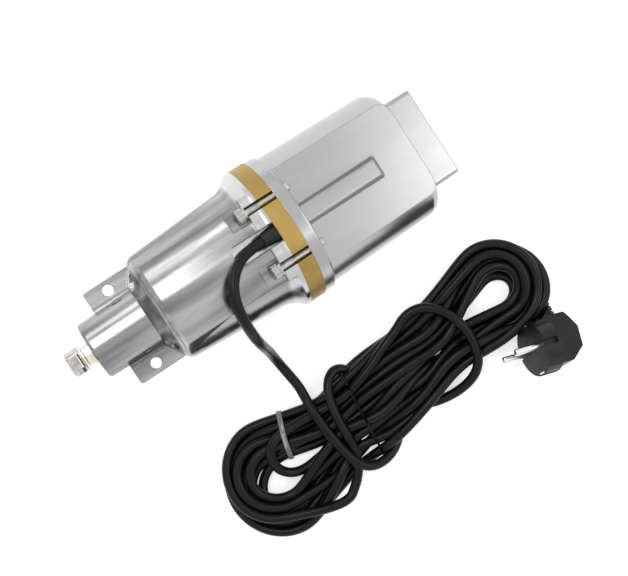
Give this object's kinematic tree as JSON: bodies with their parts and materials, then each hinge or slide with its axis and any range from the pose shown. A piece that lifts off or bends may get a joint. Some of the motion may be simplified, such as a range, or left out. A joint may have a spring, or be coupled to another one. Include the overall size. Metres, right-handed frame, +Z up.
{
  "type": "submersible vibratory pump",
  "caption": "Submersible vibratory pump with a tapered die-cast body, a square magnet housing, an outlet stub with a hose clamp, rope ears and a hanked mains cord with an angled plug.",
  "frame": {"origin": "on the floor that the pump lies on, below the middle of the pump's own box, its cord left out", "axes": "+X along the pump from its outlet to its square end, +Z up"},
  "size_m": [0.2939, 0.2361, 0.1099],
  "materials": {
    "cast_aluminium": "satin die casting, lightly polished",
    "gold_ring": "gold-coloured, satin",
    "turned_brass": "turned, pale",
    "zinc_steel": "zinc-plated",
    "core_steel": "stacked sheets, varnished",
    "copper_wire": "enamelled copper wire",
    "bobbin_plastic": "moulded, matt",
    "potting_resin": "cast resin with filler",
    "guide_plastic": "moulded, matt",
    "black_rubber": "moulded, matt",
    "cord_sheath": "smooth sheath, dull",
    "tie_plastic": "moulded, light grey",
    "tie_wire": "plastic-coated wire",
    "plug_plastic": "moulded, black",
    "pin_nickel": "nickel-plated"
  },
  "bodies": {
    "pump": {"pump_casing": "cast_aluminium", "magnet_casing": "cast_aluminium", "spacer_ring": "gold_ring", "outlet_spigot": "turned_brass", "casing_screws": "zinc_steel", "screw_washers": "zinc_steel", "clamp_band": "zinc_steel", "valve_washer": "zinc_steel", "valve_bolt": "zinc_steel", "valve_nut": "zinc_steel", "magnet_core": "core_steel", "coil_windings": "copper_wire", "coil_bobbins": "bobbin_plastic", "potting": "potting_resin", "guide_ring": "guide_plastic", "cord_grommet": "black_rubber", "shock_absorber": "black_rubber", "diaphragm": "black_rubber", "cord_tube": "cord_sheath", "cord_hank": "cord_sheath", "inner_leads": "cord_sheath", "plug_relief": "cord_sheath", "cable_tie": "tie_plastic", "wire_tie": "tie_wire", "plug_body": "plug_plastic", "plug_pins": "pin_nickel", "plug_earth_clips": "pin_nickel"},
    "vibrator": {"vibrator_rod": "zinc_steel", "armature": "core_steel", "rod_nuts": "zinc_steel", "adjusting_washers": "zinc_steel", "piston": "black_rubber", "piston_bush": "turned_brass", "absorber_washers": "zinc_steel", "distance_sleeve": "zinc_steel", "diaphragm_washers": "zinc_steel"},
    "valve": {"inlet_valve_disc": "black_rubber"},
    "clamp_worm": {"clamp_screw": "zinc_steel"}
  },
  "joints": [
    {"name": "vibration", "type": "slide", "parent": "pump", "child": "vibrator", "axis": [0.9851, 0, -0.1719], "range_m": [-0.003, 0.003], "stiffness_N_per_m": 20000, "deforming": ["shock_absorber", "diaphragm"]},
    {"name": "valve_lift", "type": "slide", "parent": "pump", "child": "valve", "axis": [0.9851, 0, -0.1719], "range_m": [0, 0.0008], "stiffness_N_per_m": 300},
    {"name": "clamp_turn", "type": "hinge", "parent": "pump", "child": "clamp_worm", "pos_m": [-0.12728, 0, 0.08612], "axis": [0, 1, 0], "continuous": true}
  ]
}
